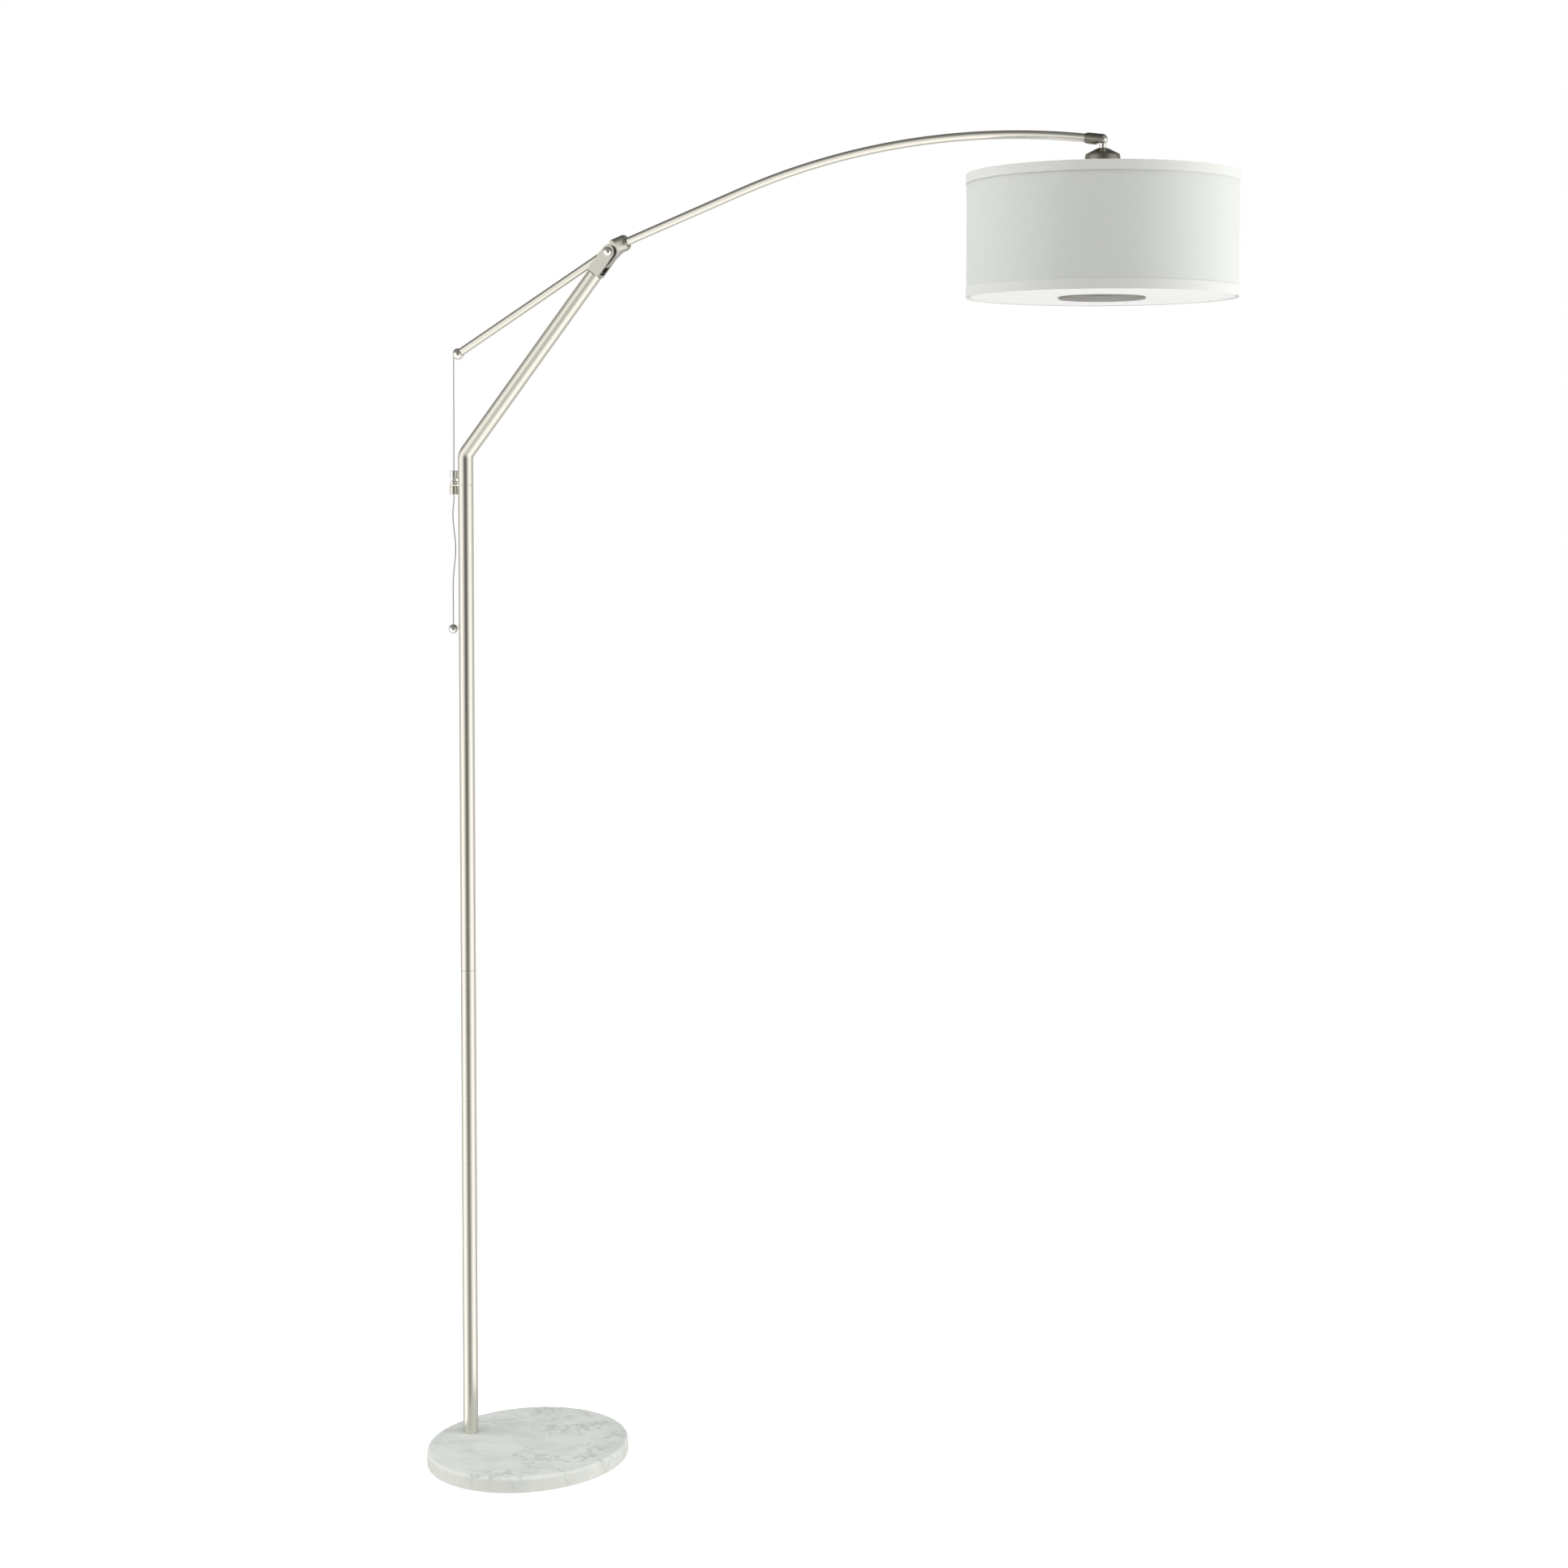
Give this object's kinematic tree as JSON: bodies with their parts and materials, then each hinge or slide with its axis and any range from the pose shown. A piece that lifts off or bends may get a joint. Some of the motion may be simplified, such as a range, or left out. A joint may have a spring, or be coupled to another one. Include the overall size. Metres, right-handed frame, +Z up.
{
  "type": "arc floor lamp",
  "caption": "Floor lamp with an oval stone foot, a jointed pole bent at the top, a cable-held arc arm and a hanging drum shade with a diffuser.",
  "frame": {"origin": "centre of the foot's underside, on the floor", "axes": "+X from the pole towards the shade, +Y across the lamp, +Z up"},
  "size_m": [1.3247, 0.3992, 2.1116],
  "materials": {
    "nickel": "brushed nickel plate on steel",
    "polished": "polished nickel plate",
    "dark_nickel": "darker brushed nickel plate",
    "disc_nickel": "brushed, nickel toned",
    "steel": "plain zinc-plated steel",
    "cable": "stranded steel cable",
    "marble": "polished white marble with soft grey veins",
    "felt": "felt",
    "nylon": "plain nylon",
    "linen": "off-white linen weave on a stiff lining",
    "trim": "off-white trim tape",
    "opal": "frosted white acrylic",
    "bulb_glass": "frosted white",
    "phenolic": "black moulded",
    "enamel": "white enamel"
  },
  "bodies": {
    "stand": {"felt_pad": "felt", "marble_base": "marble", "base_washer": "steel", "base_nut": "steel", "base_stud": "steel", "pole_plug": "steel", "pole_lower": "nickel", "pole_coupler_lower": "steel", "pole_middle": "nickel", "pole_coupler_upper": "steel", "elbow_tube": "nickel", "clutch_bracket": "polished", "fork": "nickel", "fork_plug": "steel", "fork_screw": "steel", "pivot_bolt": "polished", "pivot_nut": "polished", "friction_washer_near": "nylon", "friction_washer_far": "nylon", "clutch_body": "nickel", "clutch_nut": "polished", "clutch_spring": "steel"},
    "plunger": {"clutch_plunger": "polished"},
    "arm": {"knuckle": "nickel", "set_screw_rear": "steel", "set_screw_front": "steel", "arc_tube": "nickel", "rear_tube": "nickel", "rear_ball": "polished", "end_socket": "dark_nickel"},
    "cable_link": {"cable_upper": "cable"},
    "cable_tail": {"cable_tail": "cable", "pull_ball": "polished"},
    "swivel": {"swivel_ball": "polished", "neck_nut": "steel"},
    "shade": {"dome_cap": "dark_nickel", "spider_nut": "steel", "cluster_body": "enamel", "shade_spider": "enamel", "rim_ring_top": "enamel", "rim_ring_bottom": "enamel", "shade_drum": "linen", "shade_trim_bottom": "trim", "shade_trim_top": "trim", "lamp_holder_left": "phenolic", "lamp_holder_right": "phenolic", "bulb_left": "bulb_glass", "bulb_right": "bulb_glass", "diffuser": "opal", "centre_rod": "steel", "diffuser_nut": "steel", "finial_disc": "disc_nickel"}
  },
  "joints": [
    {"name": "arm_pivot", "type": "hinge", "parent": "stand", "child": "arm", "pos_m": [0.15767, 0, 1.9531], "axis": [0, 1, 0], "range_deg": [0, 38]},
    {"name": "cable_pull", "type": "slide", "parent": "stand", "child": "cable_tail", "axis": [0, 0, 1], "range_m": [0, 0.206], "deforming": ["cable_tail"]},
    {"name": "cable_swing", "type": "hinge", "parent": "arm", "child": "cable_link", "pos_m": [-0.12078, 0, 1.79789], "axis": [0, 1, 0], "range_deg": [-49.5, 0], "deforming": ["cable_upper"]},
    {"name": "plunger_press", "type": "slide", "parent": "stand", "child": "plunger", "axis": [0, 0, -1], "range_m": [0, 0.0035], "stiffness_N_per_m": 800, "deforming": ["clutch_spring"]},
    {"name": "shade_tilt", "type": "hinge", "parent": "arm", "child": "swivel", "pos_m": [0.96709, 0, 2.09018], "axis": [0, 1, 0], "range_deg": [-40, 12]},
    {"name": "shade_turn", "type": "hinge", "parent": "swivel", "child": "shade", "pos_m": [0.96709, 0, 2.09018], "axis": [0, 0, 1], "range_deg": [-90, 90]}
  ],
  "couplings": [
    {"joint": "cable_pull", "follows": "arm_pivot", "m_per_rad": 0.31},
    {"joint": "cable_swing", "follows": "arm_pivot", "ratio": -1.295}
  ]
}
